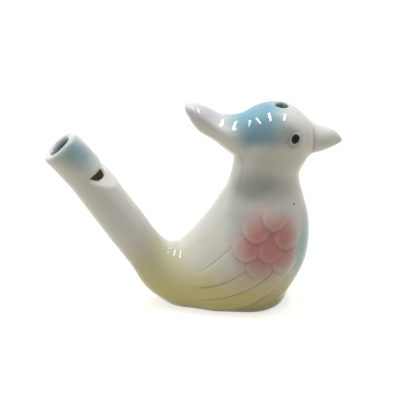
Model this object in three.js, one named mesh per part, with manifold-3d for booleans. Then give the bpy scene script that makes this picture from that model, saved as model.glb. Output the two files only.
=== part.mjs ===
// A glazed ceramic water whistle in the form of a crested bird, in millimetres, +Z up.
// The bird faces +X and stands on the XY plane, with the origin under the middle of its foot.
// Clay pieces are luted together with slip before firing: two hollow body halves on a foot slab, a beak,
// a crest, two wings and two eyes, and a tail tube that carries the mouthpiece and its fipple block.
import * as THREE from "three";
import { mergeVertices } from "three/addons/utils/BufferGeometryUtils.js";
import Module from "manifold-3d";

const wasm = await Module();
wasm.setup();

// Clay
const wall = 2; // thickness of the cast body and tail
const slip = 0.25; // layer of slip between two luted pieces

// Foot and filling hole
const footHeight = 2;
const fillHoleDiameter = 3.5;
const fillHoleX = 11.4;
const fillHoleY = -1.5; // bored a little off the middle, towards the bird's right

// Tail, a straight tube that rises from the elbow at the back of the body
const elbowX = -24.7; // centre of the joint between body and tail
const elbowZ = 16.4;
const tailAngle = 55.4; // above the horizontal, in degrees
const tailDiameter = 10.6; // at the joint, from where it narrows to the mouthpiece
const tailLength = 22.5; // from the joint to the window

// Mouthpiece
const mouthDiameter = 10.2;
const mouthBore = 5.9;
const mouthLength = 10.5;
const mouthBend = 6.8; // how far it leans back from the tail's own line, in degrees
const rimRounding = 0.5;

// Window, the scooped opening whose far edge splits the air
const windowTurn = 24; // from the top of the tail round to the bird's right, in degrees
const windowDepth = 3.6; // of the scoop where it meets the mouthpiece
const labiumAngle = 32; // slope of the scoop's floor, in degrees
const scoopDiameter = 30; // of the shallow hollow along the scoop's floor

// Fipple block, which leaves the windway above its flat
const blockLength = 5.5;
const windwayHeight = 0.9;

// Eyes
const eyeX = 14;
const eyeZ = 45.9;
const eyeDiameter = 2.5;
const eyeDome = 0.4;

// Widths across the bird
const torsoWidth = 28;
const neckWidth = 17.8;
const headWidth = 19.4;

// Sections of the body from the elbow round to the level of the eyes: the back and belly points
// in the side view, as [x, z]. The width runs smoothly from the tail's through those that are named.
const bodyTable = [
  { back: [-18.0, 16.8], belly: [-25.2, 8.2] },
  { back: [-16.2, 15.6], belly: [-20.5, 2.2] },
  { back: [-14.3, 15.9], belly: [-12.4, -3.2] },
  { back: [-11.8, 18.2], belly: [-0.5, -5.4] },
  { back: [-9.0, 21.2], belly: [10.5, -2.6] },
  { back: [-6.6, 24.1], belly: [16.4, 6.6], width: torsoWidth },
  { back: [-4.3, 27.6], belly: [18.8, 14.5] },
  { back: [-2.4, 30.8], belly: [18.7, 21.5] },
  { back: [-1.2, 34.3], belly: [17.1, 28.6] },
  { back: [-0.7, 37.4], belly: [16.4, 33.6], width: neckWidth },
  { back: [-0.7, 40.6], belly: [18.4, 38.4] },
  { back: [-0.5, 44.0], belly: [20.0, 44.0], width: headWidth },
];
const crown = [9.6, 52.5];

// Sections of the crest from inside the head to its tip: top and underside, half the width, and where
// it is widest, as a share of the way from its top to its underside.
const crestTable = [
  { top: [7.0, 50.6], under: [5.0, 39.0], half: 7.2, widest: 0.6 },
  { top: [1.8, 50.0], under: [0.6, 38.4], half: 7.0, widest: 0.5 },
  { top: [-2.2, 48.7], under: [-1.8, 40.0], half: 6.2, widest: 0.36 },
  { top: [-5.6, 49.6], under: [-5.2, 42.9], half: 4.9, widest: 0.26 },
  { top: [-8.6, 51.4], under: [-8.4, 45.5], half: 4.2, widest: 0.22 },
  { top: [-10.9, 52.7], under: [-10.9, 48.2], half: 3.3, widest: 0.22 },
  { top: [-12.4, 53.1], under: [-12.5, 50.4], half: 2.1, widest: 0.3 },
];
const crestTip = [-13.0, 52.2];

// Sections of the beak from inside the head to its tip.
const beakTable = [
  { top: [15.5, 48.4], under: [15.5, 38.4], half: 5.0 },
  { top: [19.8, 47.0], under: [19.8, 39.1], half: 4.2 },
  { top: [22.4, 45.7], under: [22.4, 39.8], half: 3.4 },
  { top: [24.8, 44.6], under: [24.8, 40.7], half: 2.1 },
  { top: [26.4, 43.3], under: [26.4, 41.4], half: 1.0 },
];
const beakTip = [27.2, 42.2];

// Feathers of a wing in the side view: round coverts, as the middle [x, z] of each, and long flight
// feathers, as points [x, z] along the middle of each and its greatest width.
const covertSize = 7.6;
const covertHeight = 0.9;
const quillHeight = 0.9;
const featherLift = 8; // how far the lower edge of each feather is tilted off the flank, in degrees
const coverts = [
  [8.4, 25.0],
  [4.2, 22.3],
  [11.4, 21.3],
  [0.9, 18.2],
  [7.3, 17.9],
  [12.6, 15.8],
  [3.2, 13.8],
  [9.6, 13.0],
];
const quills = [
  { width: 6.4, points: [[1.5, 17.5], [-3.5, 14.8], [-7.8, 11.2], [-13.0, 8.8]] },
  { width: 5.4, points: [[5.0, 12.5], [0.0, 9.9], [-5.0, 7.2], [-13.0, 5.4]] },
  { width: 5.4, points: [[10.0, 11.2], [6.2, 8.0], [1.6, 5.6], [-6.0, 4.0]] },
];

// Fineness of the facets
const roundBody = 40;
const rowsBody = 40;
const rowsDome = 8;
const roundTube = 32;
const roundHead = 24;
const roundSmall = 12;

const degrees = THREE.MathUtils.degToRad;
const glaze = (color, roughness = 0.12) => new THREE.MeshStandardMaterial({ color, roughness, metalness: 0 });

// Geometry helpers

/** A point of the side view, which is the plane that parts the bird's left from its right. */
function side([x, z]) {
  return new THREE.Vector3(x, 0, z);
}

/** A closed surface through rings of points, drawn together to a point at each end. */
function skin(rings, first, last) {
  const count = rings[0].length;
  const points = [...rings.flat(), first, last];
  const faces = [];
  const at = (row, i) => row * count + (i % count);
  for (let i = 0; i < count; i++) {
    faces.push(points.length - 2, at(0, i + 1), at(0, i));
    faces.push(points.length - 1, at(rings.length - 1, i), at(rings.length - 1, i + 1));
    for (let row = 0; row + 1 < rings.length; row++) {
      faces.push(at(row, i), at(row + 1, i + 1), at(row + 1, i));
      faces.push(at(row, i), at(row, i + 1), at(row + 1, i + 1));
    }
  }
  let volume = 0;
  for (let i = 0; i < faces.length; i += 3) {
    const [a, b, c] = faces.slice(i, i + 3).map((index) => points[index]);
    volume += a.dot(b.clone().cross(c)) / 6;
  }
  const facing = volume > 0 ? faces : faces.reverse();
  return new THREE.BufferGeometry().setFromPoints(points).setIndex(facing);
}

/** An egg-shaped section as a ring of points: over its top, down the bird's right side and up its left. */
function sectionRing({ top, bottom, half, widest = 0.5 }, count) {
  const centre = top.clone().lerp(bottom, widest);
  const ring = [];
  for (let i = 0; i < count; i++) {
    const turn = (2 * Math.PI * i) / count;
    const reach = Math.cos(turn) > 0 ? top : bottom;
    const point = centre.clone().lerp(reach, Math.abs(Math.cos(turn)));
    point.y -= half * Math.sin(turn);
    ring.push(point);
  }
  return ring;
}

/** Sections that run smoothly through the given ones. */
function fairSections(sections, rows) {
  const rail = (point) => new THREE.CatmullRomCurve3(sections.map(point), false, "centripetal");
  const tops = rail((s) => s.top);
  const bottoms = rail((s) => s.bottom);
  const swells = new THREE.SplineCurve(sections.map((s) => new THREE.Vector2(s.half, s.widest ?? 0.5)));
  return Array.from({ length: rows + 1 }, (_, row) => {
    const { x: half, y: widest } = swells.getPoint(row / rows);
    return { top: tops.getPoint(row / rows), bottom: bottoms.getPoint(row / rows), half, widest };
  });
}

/** Sections of a round cap from a section, which is left out, up to a crown. */
function domeSections({ top, bottom, half }, crownPoint, rows) {
  const centre = top.clone().lerp(bottom, 0.5);
  return Array.from({ length: rows - 1 }, (_, row) => {
    const angle = (Math.PI / 2) * ((row + 1) / rows);
    const middle = centre.clone().lerp(crownPoint, Math.sin(angle));
    const reach = (point) => point.clone().sub(centre).multiplyScalar(Math.cos(angle)).add(middle);
    return { top: reach(top), bottom: reach(bottom), half: half * Math.cos(angle) };
  });
}

/** The surface moved outwards by a distance, or inwards by a negative one. */
function grown(geometry, distance) {
  const moved = geometry.clone();
  moved.computeVertexNormals();
  const { position, normal } = moved.attributes;
  const point = new THREE.Vector3();
  const way = new THREE.Vector3();
  for (let i = 0; i < position.count; i++) {
    point.fromBufferAttribute(position, i).addScaledVector(way.fromBufferAttribute(normal, i), distance);
    position.setXYZ(i, ...point);
  }
  return moved;
}

/** A closed geometry as a solid that can be joined and cut. */
function solidOf(geometry) {
  const bare = geometry.clone();
  bare.deleteAttribute("normal");
  bare.deleteAttribute("uv");
  const merged = mergeVertices(bare, 1e-4);
  return new wasm.Manifold(
    new wasm.Mesh({
      numProp: 3,
      vertProperties: new Float32Array(merged.attributes.position.array),
      triVerts: new Uint32Array(merged.index.array),
    }),
  );
}

/** A solid as a named mesh. */
function piece(name, solid, material) {
  const { vertProperties, triVerts } = solid.getMesh();
  const geometry = new THREE.BufferGeometry()
    .setAttribute("position", new THREE.BufferAttribute(vertProperties, 3))
    .setIndex(new THREE.BufferAttribute(triVerts, 1));
  geometry.computeVertexNormals();
  const mesh = new THREE.Mesh(geometry, material);
  mesh.name = name;
  return mesh;
}

/** A box far larger than the bird, on the side of a plane that its normal points to. */
function beyond(point, normal) {
  const size = 400;
  const box = new THREE.BoxGeometry(size, size, size).translate(0, 0, size / 2);
  box.applyQuaternion(new THREE.Quaternion().setFromUnitVectors(new THREE.Vector3(0, 0, 1), normal));
  return solidOf(box.translate(...point));
}

/** A solid of revolution about Y from a closed profile of [radius, height] points. */
function turned(profile, count) {
  return solidOf(new THREE.LatheGeometry(profile.map(([r, h]) => new THREE.Vector2(r, h)), count));
}

// Frames

const up = new THREE.Vector3(0, 0, 1);
const right = new THREE.Vector3(0, -1, 0);
const left = new THREE.Vector3(0, 1, 0);
const elbow = side([elbowX, elbowZ]);
const tailWay = side([-Math.cos(degrees(tailAngle)), Math.sin(degrees(tailAngle))]);
const tailTop = side([Math.sin(degrees(tailAngle)), Math.cos(degrees(tailAngle))]);

// Body

/** A round section of the tail's diameter, at a distance up the tail from the joint. */
function tailSection(distance) {
  const centre = elbow.clone().addScaledVector(tailWay, distance);
  const radius = tailDiameter / 2;
  return {
    top: centre.clone().addScaledVector(tailTop, radius),
    bottom: centre.clone().addScaledVector(tailTop, -radius),
    half: radius,
  };
}

const tailOverrun = tailDiameter / 2; // the form runs on past the joint, where it is trimmed

/** Half the width at a row of the table, between the named widths before and after it. */
function halfWidth(row) {
  const named = [{ row: -1, width: tailDiameter }];
  bodyTable.forEach(({ width }, i) => width && named.push({ row: i, width }));
  const after = named.findIndex((station) => station.row >= row);
  const [from, to] = [named[after - 1], named[after]];
  return THREE.MathUtils.lerp(from.width, to.width, THREE.MathUtils.smoothstep(row, from.row, to.row)) / 2;
}

const bodySections = [
  tailSection(tailOverrun),
  tailSection(0),
  ...bodyTable.map(({ back, belly }, row) => ({ top: side(back), bottom: side(belly), half: halfWidth(row) })),
];

/** The outside of the whole body, with a share of the finest facets. */
function bodyForm(share) {
  const sections = fairSections(bodySections, rowsBody * share);
  sections.push(...domeSections(sections.at(-1), side(crown), rowsDome * share));
  return skin(
    sections.map((section) => sectionRing(section, roundBody * share)),
    elbow.clone().addScaledVector(tailWay, tailOverrun),
    side(crown),
  );
}

const bodySolid = solidOf(bodyForm(1));
const chamber = solidOf(grown(bodyForm(0.5), -wall));
const seat = solidOf(grown(bodyForm(1), slip)); // what is luted on is cut back to this

const flankCaster = new THREE.Raycaster();
const flankTarget = new THREE.Mesh(bodyForm(1));
flankTarget.geometry.computeVertexNormals();

/** Where a line across the bird at [x, z] leaves its flank on one side, and the way out of the clay there. */
function onFlank([x, z], outwards) {
  const far = side([x, z]).addScaledVector(outwards, 100);
  flankCaster.set(far, outwards.clone().negate());
  const { point, normal } = flankCaster.intersectObject(flankTarget)[0];
  return { point, normal: normal.clone().normalize() };
}

// Eyes, one bead in a shallow socket on each side of the head

function eyeBead(outwards) {
  const { point, normal } = onFlank([eyeX, eyeZ], outwards);
  const bead = new THREE.SphereGeometry(eyeDiameter / 2, roundSmall, roundSmall / 2);
  const socketDepth = eyeDome + slip;
  const socketRadius = eyeDiameter / 2 + slip;
  const socket = new THREE.CylinderGeometry(socketRadius, socketRadius, 2 * socketDepth, roundSmall);
  const turn = new THREE.Quaternion().setFromUnitVectors(new THREE.Vector3(0, 1, 0), normal);
  return {
    bead: solidOf(bead.scale(1, (2 * eyeDome) / eyeDiameter, 1).applyQuaternion(turn).translate(...point)),
    socket: solidOf(socket.applyQuaternion(turn).translate(...point)),
  };
}

const rightEye = eyeBead(right);
const leftEye = eyeBead(left);

// Body halves, open below where the foot closes them, and open to the tail

const fillHole = new THREE.CylinderGeometry(fillHoleDiameter / 2, fillHoleDiameter / 2, 4 * wall, roundSmall);
fillHole.rotateX(Math.PI / 2).translate(fillHoleX, fillHoleY, crown[1]);
const jointTrim = new THREE.CylinderGeometry(tailDiameter, tailDiameter, 2 * tailOverrun, roundTube);
jointTrim.translate(0, tailOverrun - slip / 2, 0);
jointTrim.applyQuaternion(new THREE.Quaternion().setFromUnitVectors(new THREE.Vector3(0, 1, 0), tailWay));
jointTrim.translate(...elbow);
const shell = bodySolid
  .subtract(chamber)
  .subtract(solidOf(jointTrim))
  .subtract(beyond(side([0, footHeight + slip]), up.clone().negate()))
  .subtract(solidOf(fillHole))
  .subtract(rightEye.socket)
  .subtract(leftEye.socket);
const seam = new THREE.Vector3();

// Foot, a slab that carries on the form of the body's underside

const foot = bodySolid
  .subtract(beyond(side([0, footHeight]), up))
  .subtract(beyond(side([0, 0]), up.clone().negate()));

// Beak and crest, cut to sit on the head

function headPiece(table, tip) {
  const sections = table.map((row) => ({ ...row, top: side(row.top), bottom: side(row.under) }));
  const rings = fairSections(sections, 2 * table.length).map((section) => sectionRing(section, roundHead));
  const root = sections[0].top.clone().lerp(sections[0].bottom, 0.5);
  return solidOf(skin(rings, root, side(tip))).subtract(seat);
}

// Wings, each one relief of overlapping feathers

/** The way across a feather and the way out of its face, tilted so that its lower edge stands off the flank. */
function lifted(across, normal) {
  const downhill = across.z < 0 ? across.clone() : across.clone().negate();
  const lift = degrees(featherLift);
  return {
    edge: downhill.clone().multiplyScalar(Math.cos(lift)).addScaledVector(normal, Math.sin(lift)),
    face: normal.clone().multiplyScalar(Math.cos(lift)).addScaledVector(downhill, -Math.sin(lift)),
  };
}

/** A round feather that lies on the flank like a low shell. */
function covert(middle, outwards) {
  const { point, normal } = onFlank(middle, outwards);
  const level = normal.clone().cross(up).normalize();
  const { face } = lifted(level.clone().cross(normal), normal);
  const form = new THREE.SphereGeometry(covertSize / 2, roundSmall, roundSmall / 2);
  form.scale(1, (2 * covertHeight) / covertSize, 1);
  const turn = new THREE.Quaternion().setFromUnitVectors(new THREE.Vector3(0, 1, 0), face);
  return solidOf(form.applyQuaternion(turn).translate(...point));
}

/** A long feather that follows the flank and narrows to both ends. */
function quill({ width, points }, outwards) {
  const line = new THREE.CatmullRomCurve3(points.map(side));
  const steps = 10;
  const rings = [];
  for (let step = 1; step < steps; step++) {
    const here = line.getPoint(step / steps);
    const { point, normal } = onFlank([here.x, here.z], outwards);
    const across = normal.clone().cross(line.getTangent(step / steps)).normalize();
    const { edge, face } = lifted(across, normal);
    const swell = Math.sqrt(Math.sin((Math.PI * step) / steps));
    const ring = [];
    for (let i = 0; i < roundSmall; i++) {
      const turn = (2 * Math.PI * i) / roundSmall;
      const reach = edge.clone().multiplyScalar((width / 2) * swell * Math.cos(turn));
      ring.push(reach.addScaledVector(face, quillHeight * swell * Math.sin(turn)).add(point));
    }
    rings.push(ring);
  }
  const end = (share) => onFlank([line.getPoint(share).x, line.getPoint(share).z], outwards).point;
  return solidOf(skin(rings, end(0), end(1)));
}

function wing(outwards) {
  const feathers = [...coverts.map((c) => covert(c, outwards)), ...quills.map((q) => quill(q, outwards))];
  return feathers.reduce((joined, feather) => joined.add(feather)).subtract(seat);
}

// Tail and mouthpiece, in a frame of their own: Y runs up the tail and X points out of its top

const bore = tailDiameter - 2 * wall;

function tailTube() {
  const tube = turned(
    [
      [bore / 2, slip / 2],
      [tailDiameter / 2, slip / 2],
      [mouthDiameter / 2, tailLength],
      [bore / 2, tailLength],
      [bore / 2, slip / 2],
    ],
    roundTube,
  );
  return tube.subtract(scoop());
}

/** The slightly hollow cut that opens the window and slopes up to the tail's surface. */
function scoop() {
  const radius = scoopDiameter / 2;
  const length = 3 * tailDiameter;
  const cutter = new THREE.CylinderGeometry(radius, radius, length, roundTube);
  cutter.translate(radius, 0, 0).rotateZ(degrees(labiumAngle));
  cutter.translate(mouthDiameter / 2 - windowDepth, tailLength, 0).rotateY(-degrees(windowTurn));
  return solidOf(cutter);
}

function mouthTube() {
  const outer = mouthDiameter / 2;
  const rim = rimRounding * (1 - Math.SQRT1_2);
  const tube = turned(
    [
      [mouthBore / 2, -outer],
      [outer, -outer],
      [outer, mouthLength - rimRounding],
      [outer - rim, mouthLength - rim],
      [outer - rimRounding, mouthLength],
      [mouthBore / 2 + rimRounding, mouthLength],
      [mouthBore / 2 + rim, mouthLength - rim],
      [mouthBore / 2, mouthLength - rimRounding],
      [mouthBore / 2, -outer],
    ],
    roundTube,
  );
  return bent(tube).subtract(belowMouth());
}

/** The fipple block: a plug with a flat along the side of the window. */
function fippleBlock() {
  const radius = mouthBore / 2 - slip;
  const flat = mouthBore / 2 - windwayHeight;
  const open = Math.acos(flat / radius);
  const outline = new THREE.Shape().absarc(0, 0, radius, open, 2 * Math.PI - open);
  const plug = new THREE.ExtrudeGeometry(outline, {
    depth: blockLength + mouthDiameter / 2,
    bevelEnabled: false,
    curveSegments: roundTube,
  });
  plug.translate(0, 0, -mouthDiameter / 2).rotateX(-Math.PI / 2).rotateY(-degrees(windowTurn));
  return bent(solidOf(plug)).subtract(belowMouth());
}

/** Moves a solid from the mouthpiece's own line to its place on the tail. */
function bent(solid) {
  return solid.rotate([0, 0, mouthBend]).translate([0, tailLength, 0]);
}

function belowMouth() {
  return beyond(new THREE.Vector3(0, tailLength + slip, 0), new THREE.Vector3(0, -1, 0));
}

// Assembly

const white = glaze(0xe4e1d8);
const blue = glaze(0x9cc3cf);
const pink = glaze(0xc98f8c);
const black = glaze(0x15130f);
const olive = glaze(0xb5b07c);
const paleBlue = glaze(0xc3d2d6);
const biscuit = glaze(0xcfc6b4, 0.7);

const bird = new THREE.Group();
bird.add(
  piece("body_right_half", shell.subtract(beyond(seam, left)), white),
  piece("body_left_half", shell.subtract(beyond(seam, right)), white),
  piece("foot", foot, olive),
  piece("crest", headPiece(crestTable, crestTip), blue),
  piece("beak", headPiece(beakTable, beakTip), white),
  piece("right_wing", wing(right), pink),
  piece("left_wing", wing(left), pink),
  piece("right_eye", rightEye.bead, black),
  piece("left_eye", leftEye.bead, black),
);

const tail = new THREE.Group();
tail.position.copy(elbow);
tail.rotation.set(Math.PI / 2, degrees(tailAngle - 90), 0, "YXZ");
tail.add(
  piece("tail_tube", tailTube(), white),
  piece("mouthpiece", mouthTube(), paleBlue),
  piece("fipple_block", fippleBlock(), biscuit),
);
bird.add(tail);

export default bird;
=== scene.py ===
# A glazed ceramic bird whistle on a white table, dressed around its CAD model.
# Lengths are millimetres in the CAD model's frame, and become metres where Blender takes them.
# A pair of values is where a change begins and where it is complete, unless its comment says otherwise.
import math

import bmesh
import bpy
import numpy as np
from mathutils import Matrix, Vector
from mathutils.bvhtree import BVHTree


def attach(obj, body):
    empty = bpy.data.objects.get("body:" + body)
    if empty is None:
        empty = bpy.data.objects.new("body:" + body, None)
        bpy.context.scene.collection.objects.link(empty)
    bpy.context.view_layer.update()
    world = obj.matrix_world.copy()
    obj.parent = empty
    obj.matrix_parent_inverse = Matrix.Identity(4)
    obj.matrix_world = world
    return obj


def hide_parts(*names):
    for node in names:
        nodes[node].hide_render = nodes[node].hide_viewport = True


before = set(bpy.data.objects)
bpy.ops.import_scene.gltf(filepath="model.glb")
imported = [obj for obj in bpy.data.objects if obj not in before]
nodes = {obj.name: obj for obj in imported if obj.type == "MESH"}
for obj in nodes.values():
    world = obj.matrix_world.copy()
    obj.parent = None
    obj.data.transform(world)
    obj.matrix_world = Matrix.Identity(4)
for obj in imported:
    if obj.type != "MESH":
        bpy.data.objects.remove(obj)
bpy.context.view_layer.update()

MM = 0.001

# Camera, at the photograph's angle
VIEW_AZIMUTH = -5  # degrees
VIEW_ELEVATION = 21.5  # degrees
VIEW_DISTANCE = 550
VIEW_AIM = (-8.99, -0.04, 27.12)
VIEW_LENS = 195.3

# Places on the bird
ELBOW = np.array((-24.7, 0, 16.4))  # where the tail leaves the body
TAIL_ANGLE = math.radians(55.4)
TAIL_WAY = np.array((-math.cos(TAIL_ANGLE), 0, math.sin(TAIL_ANGLE)))
TAIL_LENGTH = 22.5  # up to the mouthpiece
TAIL_FRONT = -18  # the x that all of the tail lies behind
FILL_HOLE = np.array((11.4, -1.5, 52))
EYE = (14, 45.9)  # in the side view, as (x, z)

# Skin of clay and glaze, grown over these CAD nodes, with the wings as relief on it
CLAY = (
    "body_right_half",
    "body_left_half",
    "foot",
    "crest",
    "beak",
    "right_eye",
    "left_eye",
    "tail_tube",
    "mouthpiece",
)
SLIP = 0.25  # between two luted pieces in the CAD model
WELD = 0.001  # corners as close as this are one
GRAIN = 0.3  # distance between the points of the skin
SMOOTHING_ROUNDS = 70
SMOOTHING_SHARE = 0.6

# Where the shape is finer, its facets are smoothed less: the stretch up the tail, or the stretches in x
# and z, where that sets in, and the share that it takes off
FINE_UP_TAIL = [
    ((-2, 4), 0.5),  # tail
    ((TAIL_LENGTH - 9, TAIL_LENGTH - 5), 0.4),  # mouthpiece
    ((TAIL_LENGTH + 7, TAIL_LENGTH + 9), 0.06),  # its rim
]
FINE_ON_HEAD = [
    ((-2, -7), (38, 42), 0.6),  # crest
    ((-9, -12), (38, 42), 0.3),  # its tip
    ((19, 22), (36, 39), 0.85),  # beak
]
FINE_BY_HOLE = (4.5, 3)  # from the hole's middle
LEAST_SHARE_BY_HOLE = 0.12
LEAST_SHARE = 0.03

# How far a point has to face sideways to carry relief, as a part of its normal
RELIEF_FACING = (0.15, 0.5)

# Feathers in the side view, as (x, z): the middles of the coverts, and the lower edges of the flight
# feathers below the line where the wing begins
COVERTS = [
    (8.9, 26.2),
    (4.0, 23.6),
    (11.9, 21.2),
    (7.6, 18.2),
    (1.4, 18.7),
    (11.0, 14.9),
    (4.6, 14.3),
]
COVERT_RADIUS = 3.5
COVERT_EDGE = (1.12, 0.76)  # shares of the radius
COVERT_LEAN = 0.3  # how far its highest side is turned from straight down towards the tail
FEATHER_EDGES = [
    [(0.3, 22.0), (-4.3, 16.5), (-9.0, 12.4), (-13.6, 10.4)],
    [(1.4, 13.3), (-4.4, 9.6), (-9.4, 8.0), (-14.2, 7.3)],
    [(7.1, 11.6), (1.8, 7.9), (-4.3, 5.4), (-10.5, 4.3)],
    [(11.5, 10.2), (6.1, 5.3), (0.2, 2.4), (-4.2, 1.5)],
]
FEATHER_HEIGHT = 0.5  # of a covert above the flank
FLIGHT_HEIGHT = 0.8  # of a flight feather along its lower edge, as a share of a covert's
# Each flight feather's share along its upper edge, and the part of it that is lost towards the coverts
FLIGHT_ROOTS = [(0.5, 0.5), (0.1, 0), (0.1, 0)]
LEAST_FLIGHT_WIDTH = 0.5
LOWER_STEP = (-0.7, 0.6)  # upwards from the lower edge
UPPER_STEP = (-0.1, 0.6)  # downwards from the upper edge
FLIGHT_TIPS = (-15, -6)  # in x
FLIGHT_DIP = (-6, -2)  # in x from the feather's upper end
FLIGHT_END = (2, 0)  # in x from the feather's upper end
WING_INSIDE = 5  # the wings' least distance from the middle of the bird
LEAST_FEATHER = 0.02  # relief higher than this belongs to a wing

# Lines round the eye
EYE_TILT = 0.2
LID_RADIUS = 1.9
LID_WIDTH = 0.25
LID_DEPTH = 0.13
LID_CORNER_START = (1.8, 2.1)  # from the eye's middle
LID_CORNER_END = (3.2, 2.4)

# Lip of the face and the line before it: middle and width in x, and how far each stands out
BEAK_LIP = (18.4, 0.55)
BEAK_LIP_HEIGHT = 0.22
BEAK_LINE = (19.6, 0.4)
BEAK_LINE_DEPTH = 0.06
BEAK_BOTTOM = (38.5, 40)
BEAK_TOP = (48, 46.5)

# Groove over the foot: middle and width in z, its depth, and where it sets in along x
FOOT_GROOVE = (2.7, 0.6)
FOOT_GROOVE_DEPTH = 0.45
FOOT_GROOVE_START = (6, 14)

# Touches of the modeller's hand: the middle and reach of each in x, y (from the middle of the bird, alike
# on both sides) and z, and how far it draws the clay
TOUCHES = [
    ((-3.5, 0, 48.5), (6, 5, 6), (0, 0, 1.2)),  # the crest's ridge
    ((-8, 0, 50.5), (5.5, 5, 6), (0, 0, 1.3)),
    ((-10, 0, 46.5), (6, 8, 5), (-0.6, 0, -0.4)),  # its lower side
    ((12, 0, 52), (5, 9, 4), (0, 0, 0.4)),  # brow
    ((17, 0, 49), (3.5, 6, 4), (0, 0, -0.35)),
    ((24.5, 0, 44.5), (5, 6, 3.5), (0, 0, 0.4)),  # the beak's ridge
    ((14.5, 0, 36), (6, 10, 5), (-0.5, 0, 0)),  # throat
    ((20, 0, 25), (8, 12, 10), (0.3, 0, 0)),  # chest
    ((18, 0, 2), (10, 16, 10), (-1.3, 0, 0)),  # the front of the foot
    ((17, 0, 4.5), (7, 14, 3), (-0.8, 0, 0)),
    ((6, 11, 0.5), (10, 7, 5), (0, 1.2, 0)),  # its sides
    ((-12, 9, 0.5), (7, 7, 5), (0, -1.1, 0)),
    ((-23, 0, 6), (8, 12, 7), (-0.5, 0, -0.5)),  # under the elbow
    ((-38.5, 0, 43), (7, 7, 7), (0.3, 0, 0.2)),  # along the mouthpiece
    ((-33.2, 0, 37.9), (2.5, 4, 2.5), (-0.5, 0, 0)),  # the mouthpiece's corner over the window
]
TAIL_FULLNESS = 0.03  # share of its radius
TAIL_BLEND = 6  # the stretch at each end of the tail where that sets in
WINDOW_LIP = np.array((-33.2, -1.6, 34.2))
LIP_REACH = (2.6, 0.6)
LIP_DRAW = 0.4  # how far the lip is drawn up the tail
HOLE_REACH = (4, 2.5)
HOLE_FLATTENING = 0.22  # share of its width

# Marks for the glaze, and for the painted shade and highlights that go with it
MARK_SHARE = 0.5  # smoothing of the marks in each round
INSIDE_ROUNDS = 3
CREASE_ROUNDS = 14
CREASE_DEPTH = 0.055  # of a crease that is fully marked
CREASE_START = (-20, -15)  # in x, so that none are marked on the tail
RAY_COUNT = 8  # rays that look for a way out round a face
RAY_SLANT = 1.5  # sideways for each step straight out
RAY_LIFT = 0.02  # off the face

# Evenness of the shading: the smoothing in each round, and what is added on the elbow and the crown
EVEN_ROUNDS = 120
EVEN_SHARE = 0.06
ELBOW_SHARE = 0.5
ELBOW_BEHIND = (-13, -17)  # in x
ELBOW_BELOW = (24, 20)  # in z
CROWN_SHARE = 0.14
CROWN_ABOVE = (48, 49.5)  # in z
CROWN_ROUND_HOLE = (3.5, 5)  # from the hole's middle

# Eyes: drops of glaze
EYE_RADIUS = 1.1
EYE_TALLNESS = 1.06  # its height as a share of its width
EYE_DOME = 0.3  # thickness in the middle
EYE_SINK = 0.03  # of the edge below the skin
EYE_WOBBLE = 0.04  # of the edge, as a share of the radius
EYE_LOBES = 3  # bulges of the edge
EYE_PHASE = 1  # radians that they are turned by
EYE_RINGS = 8
EYE_SIDES = 28
BESIDE_HEAD = 30  # a distance from the middle of the bird that clears the head


# Skin: one surface over all the clay, cut into the pieces that it is made of

def smoothstep(low, high, value):
    """From 0 at low to 1 at high, with soft ends."""
    share = np.clip((value - low) / (high - low), 0, 1)
    return share * share * (3 - 2 * share)


def bell(value, middle, width):
    """1 at the middle, falling away on both sides."""
    return np.exp(-(((value - middle) / width) ** 2))


def distances(points, place):
    """How far points are from a place."""
    return np.linalg.norm(points - place, axis=1)


def up_tail(points):
    """How far up the tail points are, from its joint with the body."""
    return (points - ELBOW) @ TAIL_WAY


def welded(name):
    """A CAD node's faces, joined at their corners."""
    part = bmesh.new()
    part.from_mesh(nodes[name].data)
    bmesh.ops.remove_doubles(part, verts=part.verts, dist=WELD * MM)
    part.normal_update()
    return part


def swollen(points):
    """How far clay is swollen to fill the slip: fully on the body, and less and less up the tail."""
    on_tail = points[..., 0] < TAIL_FRONT
    return SLIP * (1 - on_tail * np.clip(up_tail(points) / TAIL_LENGTH, 0, 1))


def fused_clay():
    """A closed mesh over all the clay pieces, with the slip between them filled."""
    joined = bpy.data.meshes.new("clay")
    heap = bmesh.new()
    for name in CLAY:
        part = welded(name)
        for vertex in part.verts:
            place = np.array(vertex.co) / MM
            swelling = vertex.normal * vertex.calc_shell_factor() * float(swollen(place))
            meeting = abs(up_tail(place) - TAIL_LENGTH) < SLIP / 2 and name == "tail_tube"
            vertex.co += (swelling + Vector(TAIL_WAY) * meeting * SLIP) * MM
        part.to_mesh(joined)
        heap.from_mesh(joined)
        part.free()
    heap.to_mesh(joined)
    heap.free()
    clay = bpy.data.objects.new("clay", joined)
    bpy.context.collection.objects.link(clay)
    remesh = clay.modifiers.new("Remesh", "REMESH")
    remesh.mode = "VOXEL"
    remesh.voxel_size = GRAIN * MM
    evaluated = clay.evaluated_get(bpy.context.evaluated_depsgraph_get())
    skin = bpy.data.meshes.new_from_object(evaluated)
    bpy.data.objects.remove(clay)
    return skin


def read_points(mesh):
    flat = np.empty(3 * len(mesh.vertices), np.float32)
    mesh.vertices.foreach_get("co", flat)
    return flat.reshape(-1, 3).astype(float) / MM


def write_points(mesh, points):
    mesh.vertices.foreach_set("co", (points * MM).astype(np.float32).ravel())
    mesh.update()


def read_normals(mesh):
    flat = np.empty(3 * len(mesh.vertices), np.float32)
    mesh.vertex_normals.foreach_get("vector", flat)
    return flat.reshape(-1, 3).astype(float)


def read_edges(mesh):
    flat = np.empty(2 * len(mesh.edges), np.int32)
    mesh.edges.foreach_get("vertices", flat)
    return flat.reshape(-1, 2)


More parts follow.
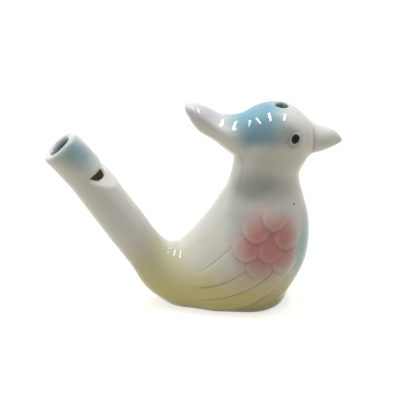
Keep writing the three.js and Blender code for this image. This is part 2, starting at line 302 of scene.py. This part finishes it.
def smoothed(values, edges, share, rounds):
    """Values on points, each drawn by its share towards the mean of its neighbours, a number of times."""
    starts, ends = edges.T
    size = len(values)
    count = np.bincount(edges.ravel(), minlength=size)[:, None]
    for _ in range(rounds):
        columns = [
            np.bincount(starts, column[ends], size) + np.bincount(ends, column[starts], size)
            for column in values.T
        ]
        values = values + share[:, None] * (np.stack(columns, axis=1) / count - values)
    return values


def softness(points):
    """How far the facets are smoothed away: fully on the torso, less where the shape is finer."""
    x, _, z = points.T
    share = np.ones(len(points))
    for stretch, less in FINE_UP_TAIL:
        share -= less * smoothstep(*stretch, up_tail(points)) * (x < TAIL_FRONT)
    for along, upwards, less in FINE_ON_HEAD:
        share -= less * smoothstep(*along, x) * smoothstep(*upwards, z)
    by_hole = smoothstep(*FINE_BY_HOLE, distances(points, FILL_HOLE))
    share = np.minimum(share, 1 - (1 - LEAST_SHARE_BY_HOLE) * by_hole)
    return np.clip(share, LEAST_SHARE, 1)


def smooth_form(points, edges):
    """The points without their facets, with what the smoothing took off the form put back."""
    share = SMOOTHING_SHARE * softness(points)
    soft = smoothed(points, edges, share, SMOOTHING_ROUNDS)
    return soft + smoothed(points - soft, edges, share, SMOOTHING_ROUNDS)


def touched(points):
    """Points as the touches leave them, with a fuller tail, a drawn lip and a flattened filling hole."""
    side = np.where(points[:, 1:2] < 0, (1, -1, 1), (1, 1, 1))
    mirrored = points * side
    drawn = points.copy()
    for middle, reach, pull in TOUCHES:
        distance = np.linalg.norm((mirrored - middle) / np.array(reach), axis=1)
        drawn += smoothstep(1, 0, distance)[:, None] * pull * side
    height = up_tail(points)
    across = points - ELBOW - height[:, None] * TAIL_WAY
    fuller = smoothstep(0, TAIL_BLEND, height) * smoothstep(TAIL_LENGTH + TAIL_BLEND, TAIL_LENGTH, height)
    fuller *= points[:, 0] < TAIL_FRONT
    drawn += TAIL_FULLNESS * fuller[:, None] * across
    at_lip = smoothstep(*LIP_REACH, distances(points, WINDOW_LIP))
    drawn += LIP_DRAW * at_lip[:, None] * TAIL_WAY
    by_hole = smoothstep(*HOLE_REACH, distances(points, FILL_HOLE))
    drawn[:, 1] -= HOLE_FLATTENING * by_hole * (points[:, 1] - FILL_HOLE[1])
    return drawn


def feather_edge(points, x):
    """The height at x of a feather's edge, a curve through its points and straight on at its upper end."""
    ends = np.array(points)
    curve = np.polyfit(ends[:, 0], ends[:, 1], len(ends) - 1)
    inside = np.clip(x, ends[:, 0].min(), ends[:, 0].max())
    return np.polyval(curve, inside) + np.maximum(x - ends[:, 0].max(), 0)


def flight_relief(x, z):
    """The flight feathers' share of the relief, each standing proud along its lower edge."""
    height = np.zeros(len(x))
    edges = [feather_edge(points, x) for points in FEATHER_EDGES]
    for (root, dip), upper, lower, points in zip(FLIGHT_ROOTS, edges, edges[1:], FEATHER_EDGES[1:]):
        rise = np.clip((upper - z) / np.maximum(upper - lower, LEAST_FLIGHT_WIDTH), 0, 1)
        feather = root + (FLIGHT_HEIGHT - root) * rise
        feather *= smoothstep(*LOWER_STEP, z - lower) * smoothstep(*UPPER_STEP, upper - z)
        from_end = x - points[0][0]
        feather *= smoothstep(*FLIGHT_TIPS, x) * smoothstep(*FLIGHT_END, from_end)
        feather *= 1 - dip * smoothstep(*FLIGHT_DIP, from_end)
        height = np.maximum(height, feather)
    return height


def covert_relief(x, z):
    """The coverts' share of the relief, each a disc that rises towards its lower side."""
    height = np.zeros(len(x))
    for middle_x, middle_z in COVERTS:
        across = (x - middle_x) / COVERT_RADIUS
        down = (middle_z - z) / COVERT_RADIUS
        rise = (1 + np.clip(down - COVERT_LEAN * across, -1, 1)) / 2
        height = np.maximum(height, rise * smoothstep(*COVERT_EDGE, np.hypot(across, down)))
    return height


def eye_relief(x, z):
    """A shallow line cut round the eye, and another from it to each corner of the lids."""
    across = x - EYE[0]
    above = z - EYE[1] - EYE_TILT * across
    aside = np.abs(across)
    ring = bell(np.hypot(across, above), LID_RADIUS, LID_WIDTH)
    corner = bell(above, 0, LID_WIDTH)
    corner *= smoothstep(*LID_CORNER_START, aside) * smoothstep(*LID_CORNER_END, aside)
    return -LID_DEPTH * np.maximum(ring, corner)


def beak_line(x, z):
    """A low lip down each side of the face and a line before it, where the beak was set on it."""
    height = BEAK_LIP_HEIGHT * bell(x, *BEAK_LIP) - BEAK_LINE_DEPTH * bell(x, *BEAK_LINE)
    return height * smoothstep(*BEAK_BOTTOM, z) * smoothstep(*BEAK_TOP, z)


def foot_step(x, z):
    """A shallow groove where the body meets its foot, clearest under the chest."""
    return -FOOT_GROOVE_DEPTH * bell(z, *FOOT_GROOVE) * smoothstep(*FOOT_GROOVE_START, x)


def clay_faces():
    """A search tree of the CAD nodes' faces, with each face's node and whether it is shut in."""
    corners, faces, owners = [], [], []
    for name in CLAY:
        part = welded(name)
        first = len(corners)
        corners += [vertex.co.copy() for vertex in part.verts]
        faces += [[first + vertex.index for vertex in face.verts] for face in part.faces]
        owners += [name] * len(part.faces)
        part.free()
    whole = BVHTree.FromPolygons(corners, faces)
    turns = [2 * math.pi * i / RAY_COUNT for i in range(RAY_COUNT)]
    kept, shut = [], []
    for index, face in enumerate(faces):
        one, two, three = (corners[i] for i in face[:3])
        normal = (two - one).cross(three - one).normalized()
        level = (two - one).normalized()
        across = normal.cross(level)
        start = (one + two + three) / 3 + normal * RAY_LIFT * MM
        leans = [math.cos(turn) * level + math.sin(turn) * across for turn in turns]
        ways = [normal, *(normal + RAY_SLANT * lean for lean in leans)]
        gaps = [whole.ray_cast(start, way)[3] for way in ways]
        # Two faces of a joint look at each other across the slip, and aren't part of the skin
        if gaps[0] is None or gaps[0] > 2 * SLIP * MM:
            kept.append(index)
            shut.append(None not in gaps)
    tree = BVHTree.FromPolygons(corners, [faces[i] for i in kept])
    return tree, [owners[i] for i in kept], shut


def build_skin():
    """The smooth skin with its relief, marked for its glaze and its painted shade and highlights, and the
    name of each point's piece.
    """
    mesh = fused_clay()
    edges = read_edges(mesh)
    form = smooth_form(read_points(mesh), edges)
    write_points(mesh, form)
    normals = read_normals(mesh)
    x, y, z = form.T
    sideways = smoothstep(*RELIEF_FACING, normals[:, 1] * np.sign(y))
    feathers = FEATHER_HEIGHT * np.maximum(flight_relief(x, z), covert_relief(x, z))
    feathers *= sideways * (np.abs(y) > WING_INSIDE)
    lines = sideways * (eye_relief(x, z) + beak_line(x, z)) + foot_step(x, z)
    points = form + normals * (feathers + lines - swollen(form))[:, None]
    write_points(mesh, points)

    tree, owners, shut = clay_faces()
    nearest = [tree.find_nearest(vertex.co)[2] for vertex in mesh.vertices]
    names = np.array([owners[i] for i in nearest])
    names[(feathers > LEAST_FEATHER) & (y < 0)] = "right_wing"
    names[(feathers > LEAST_FEATHER) & (y > 0)] = "left_wing"
    names[names == "right_eye"] = "body_right_half"
    names[names == "left_eye"] = "body_left_half"

    points = touched(points)
    points[:, 2] = np.maximum(points[:, 2], 0)
    write_points(mesh, points)
    share = np.full(len(points), MARK_SHARE)
    inside = smoothed(np.array([[float(shut[i])] for i in nearest]), edges, share, INSIDE_ROUNDS)
    hollow = smoothed(points, edges, share, CREASE_ROUNDS) - points
    depth = (hollow * read_normals(mesh)).sum(1)
    crease = np.clip(depth / CREASE_DEPTH, -1, 1) * smoothstep(*CREASE_START, x)
    for label, values in (("inside", inside[:, 0]), ("crease", crease)):
        mesh.attributes.new(label, "FLOAT", "POINT").data.foreach_set("value", values.astype(np.float32))
    return mesh, names


def shading_normals(mesh):
    """The skin's normals without the grain of its points, most even where it has no relief."""
    points = read_points(mesh)
    x, _, z = points.T
    elbow = smoothstep(*ELBOW_BEHIND, x) * smoothstep(*ELBOW_BELOW, z)
    crown = smoothstep(*CROWN_ABOVE, z) * smoothstep(*CROWN_ROUND_HOLE, distances(points, FILL_HOLE))
    share = EVEN_SHARE + CROWN_SHARE * crown + ELBOW_SHARE * elbow
    even = smoothed(read_normals(mesh), read_edges(mesh), share, EVEN_ROUNDS)
    return even / np.linalg.norm(even, axis=1, keepdims=True)


def cut_piece(skin, normals, names, name):
    """The part of the skin that stands for one CAD node, shaded as if it were still whole."""
    chosen = [face for face in skin.polygons if names[face.vertices[0]] == name]
    used = sorted({index for face in chosen for index in face.vertices})
    place = {index: i for i, index in enumerate(used)}
    corners = [skin.vertices[i].co for i in used]
    mesh = bpy.data.meshes.new(name + "_glazed")
    mesh.from_pydata(corners, [], [[place[i] for i in face.vertices] for face in chosen])
    for label in ("inside", "crease"):
        source = skin.attributes[label].data
        target = mesh.attributes.new(label, "FLOAT", "POINT")
        target.data.foreach_set("value", [source[i].value for i in used])
    mesh.shade_smooth()
    mesh.normals_split_custom_set_from_vertices(normals[used])
    piece = bpy.data.objects.new(name + "_glazed", mesh)
    bpy.context.collection.objects.link(piece)
    return piece


# Eyes

def eye_drop(skin_tree, name, outwards):
    """A drop of black glaze on the side of the head, thicker in its middle, with a slightly uneven edge."""
    drop = bmesh.new()

    def on_head(along_x, along_z, height):
        start = Vector((EYE[0] + along_x, outwards * BESIDE_HEAD, EYE[1] + along_z)) * MM
        place, normal, _, _ = skin_tree.ray_cast(start, Vector((0, -outwards, 0)))
        return drop.verts.new(place + normal * height * MM)

    rows = []
    for ring in range(1, EYE_RINGS + 1):
        share = ring / EYE_RINGS
        row = []
        for i in range(EYE_SIDES):
            turn = 2 * math.pi * i / EYE_SIDES
            reach = EYE_RADIUS * share * (1 + EYE_WOBBLE * share * math.sin(EYE_LOBES * turn + EYE_PHASE))
            height = EYE_DOME * math.sqrt(1 - share**2) - EYE_SINK * share
            row.append(on_head(reach * math.cos(turn), EYE_TALLNESS * reach * math.sin(turn), height))
        rows.append(row)
    top = on_head(0, 0, EYE_DOME)
    for i in range(EYE_SIDES):
        after = (i + 1) % EYE_SIDES
        drop.faces.new((top, rows[0][i], rows[0][after]))
        for inner, outer in zip(rows, rows[1:]):
            drop.faces.new((inner[i], outer[i], outer[after], inner[after]))
    bmesh.ops.recalc_face_normals(drop, faces=drop.faces)
    mesh = bpy.data.meshes.new("eye")
    drop.to_mesh(mesh)
    drop.free()
    mesh.shade_smooth()
    eye = bpy.data.objects.new(name + "_drop", mesh)
    bpy.context.collection.objects.link(eye)
    return eye


# Materials

def linear(red, green, blue):
    """A colour of the screen (sRGB), from 0 to 255 in each channel, as Blender takes it."""
    def channel(value):
        value /= 255
        return value / 12.92 if value <= 0.04045 else ((value + 0.055) / 1.055) ** 2.4

    return (channel(red), channel(green), channel(blue), 1)


def in_metres(place):
    """A place or size as Blender takes it."""
    return tuple(value * MM for value in place)


class Nodes:
    """A tree of shader nodes, added and wired one at a time."""

    def __init__(self, tree):
        self.tree = tree

    def plug(self, socket, value):
        """Feeds a socket from another node's output, or sets it to a value."""
        if isinstance(value, bpy.types.NodeSocket):
            self.tree.links.new(value, socket)
        else:
            socket.default_value = value

    def add(self, kind, *inputs, **settings):
        """A node's first output, with inputs given in order as values or as other nodes' outputs."""
        node = self.tree.nodes.new(kind)
        for key, value in settings.items():
            setattr(node, key, value)
        for socket, value in zip(node.inputs, inputs):
            if value is not None:
                self.plug(socket, value)
        return node.outputs[0]

    def math(self, operation, *inputs):
        return self.add("ShaderNodeMath", *inputs, operation=operation)

    def vector(self, operation, *inputs):
        """A number for a length or a dot product, and a vector for any other operation."""
        node = self.add("ShaderNodeVectorMath", *inputs, operation=operation).node
        return node.outputs["Value" if operation in ("LENGTH", "DOT_PRODUCT") else "Vector"]

    def ramp(self, value, low, high):
        """From 0 at low to 1 at high, with soft ends."""
        return self.add("ShaderNodeMapRange", value, low, high, interpolation_type="SMOOTHSTEP")

    def near(self, place, middle, edge, core):
        """From 0 at the edge round a middle to 1 in its core."""
        offset = self.vector("SUBTRACT", place, in_metres(middle))
        return self.ramp(self.vector("LENGTH", offset), edge * MM, core * MM)

    def mix(self, share, first, second):
        """A colour from the first, at a share of 0, to the second, at 1."""
        node = self.add("ShaderNodeMix", share, data_type="RGBA").node
        colours = [socket for socket in node.inputs if socket.type == "RGBA"]
        for socket, value in zip(colours, (first, second)):
            self.plug(socket, value)
        return next(socket for socket in node.outputs if socket.type == "RGBA")

    def lay(self, colour, shade, share, strength):
        """A colour with a shade laid over it, as strong as a share of a strength."""
        return self.mix(self.math("MULTIPLY", share, strength), colour, shade)


class Recipe(Nodes):
    """A material with its nodes."""

    def __init__(self, name):
        self.material = bpy.data.materials.new(name)
        self.material.use_nodes = True
        super().__init__(self.material.node_tree)
        self.shader = self.tree.nodes["Principled BSDF"]
        self.place = self.add("ShaderNodeTexCoord").node.outputs["Object"]

    def set(self, **inputs):
        """Feeds the shader's inputs, with the spaces in their names written as underscores."""
        for name, value in inputs.items():
            self.plug(self.shader.inputs[name.replace("_", " ")], value)

    def mark(self, label):
        """A mark that the mesh carries on its points."""
        return self.add("ShaderNodeAttribute", attribute_name=label).node.outputs["Fac"]

    def noise(self, size, detail=2.0):
        """Cloudy values about 0.5, with clouds about as large as size."""
        return self.add("ShaderNodeTexNoise", self.place, None, 1 / (size * MM), detail)

    def bump(self, height, strength, distance):
        node = self.add("ShaderNodeBump").node
        for name, value in (("Strength", strength), ("Distance", distance * MM), ("Height", height)):
            self.plug(node.inputs[name], value)
        self.set(Normal=node.outputs["Normal"])


# Airbrushed colours and patches of painted shade, laid one over another: the middle and reach of each patch
# in x, y (from the middle of the bird, alike on both sides) and z, how far in from its edge it is full, as
# a share of its reach, its strength and its colour
SPRAYS = [
    ((-20, 0, 6), (13.5, 19, 18), 0.7, 0.85, (208, 199, 130)),  # elbow
    ((-4, 8, -6), (36, 30, 21.5), 0.5, 1.0, (224, 210, 132)),  # belly
    ((-16, 0, 16.5), (6, 6, 4), 0.9, 0.75, (236, 234, 227)),  # saddle between the tail and the back
    ((-9, 9, 19), (9, 10, 11), 0.9, 0.5, (222, 219, 192)),  # back
    # The foot's patch is partly its own olive glaze and partly painted shade under the wing, darkest at the
    # bottom
    ((6.5, 9.5, -0.5), (10, 6, 6), 0.9, 0.9, (160, 156, 66)),  # foot
    ((4.5, 9, 39), (9.5, 6, 9), 0.9, 0.4, (160, 160, 148)),  # neck
    ((-9, 0, 51), (9, 8, 5), 0.9, 0.7, (204, 203, 211)),  # crest
    ((5.5, 0, 49.5), (9.8, 18, 8.5), 0.65, 1.0, (124, 172, 186)),  # cap
    ((6.2, 8.5, 47.6), (8.6, 7, 5.6), 0.95, 0.85, (98, 132, 144)),  # its sides
    # The brow's grey-green patch is painted shade at the edge of the cap
    ((11.8, 8, 48.4), (5, 5, 4), 0.9, 0.6, (148, 158, 150)),  # brow
    ((4, 8, 32.5), (11, 7, 6), 0.9, 0.75, (132, 141, 134)),  # collar
    # The shoulder's grey patch is painted shade beside the coverts
    ((0, 10, 25.5), (6, 6, 7.5), 0.95, 0.45, (140, 146, 136)),  # shoulder
    ((3, 12, 13), (11, 8, 8), 0.95, 0.4, (198, 166, 146)),  # flight feathers
    ((6.9, 12, 19.3), (10.2, 10, 10.9), 0.65, 1.0, (204, 128, 121)),  # coverts
    ((17, 0, 16), (6, 16, 13.5), 0.7, 1.0, (142, 194, 192)),  # chest
    ((-39.8, 4, 42.2), (8.8, 6.5, 5.6), 0.9, 0.85, (134, 172, 180)),  # mouthpiece
    # The bore's olive grey is painted shade inside the mouthpiece
    ((-42.6, 0, 40.7), (4.3, 4.3, 4.3), 0.3, 0.95, (126, 121, 96)),  # its bore
]
SPRAY_EDGE = 1.1  # share of its reach where a patch ends
DRIFT = 5  # the range in which the patches' edges waver
DRIFT_SIZE = 9
MIST = 0.12  # how far they are blurred by grain, as a share of their reach
MIST_SIZE = 0.5
MIST_DETAIL = 3
NOISE_MIDDLE = (0.5, 0.5, 0.5)

# The glaze itself
CLOUD_SIZE = 14
WHITE_GLAZE = (linear(236, 234, 227), linear(228, 225, 216))  # in clouds
SPECK = (14.0, -7.7, 28.3)  # on the chest
SPECK_REACH = (0.4, 0.2)
SPECK_COLOUR = linear(92, 84, 70)
EYE_SHADE = (12.9, 8, 45.7)  # the middle of the grey round the eye
EYE_SHADE_REACH = (3.8, 1)
EYE_SHADE_STRENGTH = 0.5
EYE_SHADE_COLOUR = linear(126, 126, 116)
# Darker in creases: partly glaze that pools there, partly painted shade
POOLED_AND_SHADED = (0.1, 1)  # of the crease mark
POOLED_AND_SHADED_STRENGTH = 0.42
POOLED_AND_SHADED_COLOUR = linear(132, 110, 98)
# Lighter on raised edges: partly glaze that thins there, partly painted highlight
THINNED_AND_LIT = (-0.1, -1)  # of the crease mark
THINNED_AND_LIT_STRENGTH = 0.15
THINNED_AND_LIT_COLOUR = linear(240, 232, 222)
BARE = (0.3, 0.8)  # of the inside mark
BARE_COLOUR = linear(240, 226, 212)
BARE_ROUGHNESS = 0.4  # more than the glaze's
GLAZE_ROUGHNESS = 0.3
CLOUD_ROUGHNESS = 0.06  # more in the clouds
COAT_ROUGHNESS = 0.07
RIPPLE_SIZE = 3
RIPPLE_STRENGTH = 0.1
RIPPLE_HEIGHT = 0.05

# Black glaze of the eyes
BLACK_GLAZE = (linear(14, 13, 12), linear(44, 38, 32))  # in clouds
BLACK_CLOUD_SIZE = 0.8
BLACK_COAT = 0.25
BLACK_COAT_ROUGHNESS = 0.03

# Bare clay of the block, painted darker as shade inside the mouthpiece
SHADED_BLOCK_CLAY = (linear(112, 100, 82), linear(146, 134, 112))  # from grain to grain
SAND_SIZE = 0.4
SAND_DETAIL = 4
SAND_STRENGTH = 0.3
SAND_HEIGHT = 0.1
CLAY_ROUGHNESS = 0.75


def sprayed(recipe, mirrored, colour):
    """A colour with the airbrushed patches and the patches of painted shade laid over it."""
    cloudy = recipe.noise(DRIFT_SIZE).node.outputs["Color"]
    drift = recipe.vector("SUBTRACT", cloudy, NOISE_MIDDLE)
    wavering = recipe.vector("ADD", mirrored, recipe.vector("SCALE", drift, None, None, DRIFT * MM))
    mist = recipe.noise(MIST_SIZE, MIST_DETAIL)
    for middle, reach, core, strength, shade in SPRAYS:
        offset = recipe.vector("SUBTRACT", wavering, in_metres(middle))
        scaled = recipe.vector("MULTIPLY", offset, tuple(1 / (value * MM) for value in reach))
        grainy = recipe.math("MULTIPLY_ADD", mist, MIST, recipe.vector("LENGTH", scaled))
        share = recipe.ramp(grainy, SPRAY_EDGE, SPRAY_EDGE - core)
        colour = recipe.lay(colour, linear(*shade), share, strength)
    return colour


def glaze_material():
    """White glaze over white clay, airbrushed in soft colours with patches of painted shade, thin and
    lighter on edges with a painted highlight, pooled and darker in creases with painted shade.
    """
    recipe = Recipe("painted_glaze")
    split = recipe.add("ShaderNodeSeparateXYZ", recipe.place).node.outputs
    mirrored = recipe.add("ShaderNodeCombineXYZ", split[0], recipe.math("ABSOLUTE", split[1]), split[2])
    cloud = recipe.noise(CLOUD_SIZE)
    colour = sprayed(recipe, mirrored, recipe.mix(cloud, *WHITE_GLAZE))
    colour = recipe.mix(recipe.near(recipe.place, SPECK, *SPECK_REACH), colour, SPECK_COLOUR)
    round_eye = recipe.near(mirrored, EYE_SHADE, *EYE_SHADE_REACH)
    colour = recipe.lay(colour, EYE_SHADE_COLOUR, round_eye, EYE_SHADE_STRENGTH)
    crease = recipe.mark("crease")
    # Painted shade in the creases, together with the pooled glaze
    colour = recipe.lay(colour, POOLED_AND_SHADED_COLOUR, recipe.ramp(crease, *POOLED_AND_SHADED), POOLED_AND_SHADED_STRENGTH)
    # A painted highlight on the raised edges, together with the thinned glaze
    colour = recipe.lay(colour, THINNED_AND_LIT_COLOUR, recipe.ramp(crease, *THINNED_AND_LIT), THINNED_AND_LIT_STRENGTH)
    bare = recipe.ramp(recipe.mark("inside"), *BARE)
    glazed = recipe.math("SUBTRACT", 1, bare)
    roughness = recipe.math("MULTIPLY_ADD", cloud, CLOUD_ROUGHNESS, GLAZE_ROUGHNESS)
    recipe.set(Base_Color=recipe.mix(bare, colour, BARE_COLOUR))
    recipe.set(Roughness=recipe.math("MULTIPLY_ADD", bare, BARE_ROUGHNESS, roughness))
    recipe.set(Specular_IOR_Level=0.0, Coat_Weight=glazed, Coat_Roughness=COAT_ROUGHNESS)
    recipe.bump(recipe.noise(RIPPLE_SIZE), RIPPLE_STRENGTH, RIPPLE_HEIGHT)
    return recipe.material


def eye_material():
    """Black glaze, a little brown in clouds."""
    recipe = Recipe("black_glaze")
    colour = recipe.mix(recipe.noise(BLACK_CLOUD_SIZE), *BLACK_GLAZE)
    recipe.set(Base_Color=colour, Roughness=GLAZE_ROUGHNESS)
    recipe.set(Specular_IOR_Level=0.0, Coat_Weight=BLACK_COAT, Coat_Roughness=BLACK_COAT_ROUGHNESS)
    return recipe.material


def clay_material():
    """Unglazed white clay, slightly sandy, painted greyish brown as shade inside the mouthpiece."""
    recipe = Recipe("bare_clay")
    sand = recipe.noise(SAND_SIZE, SAND_DETAIL)
    recipe.set(Base_Color=recipe.mix(sand, *SHADED_BLOCK_CLAY), Roughness=CLAY_ROUGHNESS)
    recipe.bump(sand, SAND_STRENGTH, SAND_HEIGHT)
    return recipe.material


# Studio

TABLE_REACH = 3000  # from its middle to each side
TABLE_WHITES = (linear(206, 200, 184), linear(200, 194, 178))  # in clouds
TABLE_CLOUD_SIZE = 60
TABLE_GLOW = 0.7
CARD_REACH = 1000  # from its middle to each side
CARD_HEIGHT = 900
CARD_DISTANCE = 800
CARD_GREYS = (linear(60, 58, 54), linear(72, 70, 66))  # in clouds
CARD_CLOUD_SIZE = 200
MATT = 0.9  # roughness of the table and the card
LAMP_PLACES = [(-240, 40, 430), (-40, 40, 430), (160, 40, 430)]
LAMP_SIZE = (30, 220)  # along the bird and across it
LAMP_POWER = 0.42  # watts
LIGHT_COLOUR = (0.97, 1, 1.03)  # a little cooler than the light that the table throws back
SKY_WAY = (-0.35, 0.45, 0.82)  # where most of the light comes from
SKY_LEVELS = (0.1, 1.05)  # on the horizon and from that way


def add_sheet(name, corners, recipe):
    """A flat sheet of a material."""
    mesh = bpy.data.meshes.new(name)
    mesh.from_pydata([in_metres(corner) for corner in corners], [], [range(len(corners))])
    mesh.materials.append(recipe.material)
    sheet = bpy.data.objects.new(name, mesh)
    bpy.context.collection.objects.link(sheet)
    return sheet


def add_floor():
    """A white table that glows a little, so that only a faint shadow shows."""
    recipe = Recipe("white_table")
    recipe.set(Base_Color=recipe.mix(recipe.noise(TABLE_CLOUD_SIZE), *TABLE_WHITES), Roughness=MATT)
    rays = recipe.add("ShaderNodeLightPath").node.outputs
    seen = recipe.math("MAXIMUM", rays["Is Camera Ray"], rays["Is Glossy Ray"])
    recipe.set(Emission_Color=(1, 1, 1, 1), Emission_Strength=recipe.math("MULTIPLY", seen, TABLE_GLOW))
    signs = ((-1, -1), (1, -1), (1, 1), (-1, 1))
    floor = add_sheet("table", [(TABLE_REACH * x, TABLE_REACH * y, 0) for x, y in signs], recipe)


def add_card():
    """A dark card behind the camera, which keeps light off the side of the bird that the camera sees."""
    recipe = Recipe("dark_card")
    recipe.set(Base_Color=recipe.mix(recipe.noise(CARD_CLOUD_SIZE), *CARD_GREYS), Roughness=MATT)
    outline = ((-CARD_REACH, 0), (CARD_REACH, 0), (CARD_REACH, CARD_HEIGHT), (-CARD_REACH, CARD_HEIGHT))
    card = add_sheet("card", [(x, -CARD_DISTANCE, z) for x, z in outline], recipe)
    card.visible_camera = False
    card.visible_glossy = False


def add_lamp(place):
    """A lamp that points at the middle of the bird."""
    data = bpy.data.lights.new("overhead", "AREA")
    data.shape = "RECTANGLE"
    data.size, data.size_y = in_metres(LAMP_SIZE)
    data.energy = LAMP_POWER
    data.color = LIGHT_COLOUR
    lamp = bpy.data.objects.new("overhead", data)
    lamp.location = in_metres(place)
    back = (Vector(place) - Vector(VIEW_AIM)).normalized()
    across = Vector((0, 1, 0)).cross(back).normalized()
    lamp.rotation_euler = Matrix((across, back.cross(across), back)).transposed().to_euler()
    bpy.context.collection.objects.link(lamp)


def light_world():
    """Light from all round, most of it from above, which the camera and glossy surfaces see as white."""
    world = bpy.data.worlds.new("tent")
    bpy.context.scene.world = world
    world.use_nodes = True
    sky = Nodes(world.node_tree)
    way = sky.add("ShaderNodeTexCoord").node.outputs["Generated"]
    height = sky.vector("DOT_PRODUCT", way, SKY_WAY)
    strength = sky.add("ShaderNodeMapRange", height, 0, 1, *SKY_LEVELS)
    rays = sky.add("ShaderNodeLightPath").node.outputs
    for name in ("Is Camera Ray", "Is Glossy Ray", "Is Transmission Ray"):
        strength = sky.math("MAXIMUM", rays[name], strength)
    background = sky.tree.nodes["Background"].inputs
    sky.plug(background["Color"], (*LIGHT_COLOUR, 1))
    sky.plug(background["Strength"], strength)


def add_camera():
    """The camera, which looks at its aim from the photograph's angle."""
    azimuth = math.radians(VIEW_AZIMUTH)
    elevation = math.radians(VIEW_ELEVATION)
    back = Vector((
        math.sin(azimuth) * math.cos(elevation),
        -math.cos(azimuth) * math.cos(elevation),
        math.sin(elevation),
    ))
    camera = bpy.data.objects.new("camera", bpy.data.cameras.new("camera"))
    camera.data.lens = VIEW_LENS
    camera.location = (Vector(VIEW_AIM) + back * VIEW_DISTANCE) * MM
    camera.rotation_euler = back.to_track_quat("Z", "Y").to_euler()
    bpy.context.collection.objects.link(camera)
    bpy.context.scene.camera = camera


# Assembly: the pieces of the bird, each in the place of its CAD node, and the studio round it

SLOTS = {
    "body_right_half": "body_glaze",
    "body_left_half": "body_glaze",
    "tail_tube": "body_glaze",
    "beak": "body_glaze",
    "foot": "foot_glaze",
    "crest": "crest_glaze",
    "right_wing": "wing_glaze",
    "left_wing": "wing_glaze",
    "mouthpiece": "mouth_glaze",
}

skin, names = build_skin()
normals = shading_normals(skin)
glaze = glaze_material()
for name, slot in SLOTS.items():
    piece = cut_piece(skin, normals, names, name)
    piece.data.materials.append(glaze)
    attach(piece, "root")
    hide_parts(name)

corners = [vertex.co for vertex in skin.vertices]
skin_tree = BVHTree.FromPolygons(corners, [face.vertices for face in skin.polygons])
black = eye_material()
for name, outwards in (("right_eye", -1), ("left_eye", 1)):
    eye = eye_drop(skin_tree, name, outwards)
    eye.data.materials.append(black)
    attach(eye, "root")
    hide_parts(name)

block = nodes["fipple_block"]
block.data.materials.clear()
block.data.materials.append(clay_material())

add_floor()
add_card()
for place in LAMP_PLACES:
    add_lamp(place)
light_world()
add_camera()
bpy.context.scene.view_settings.view_transform = "Standard"
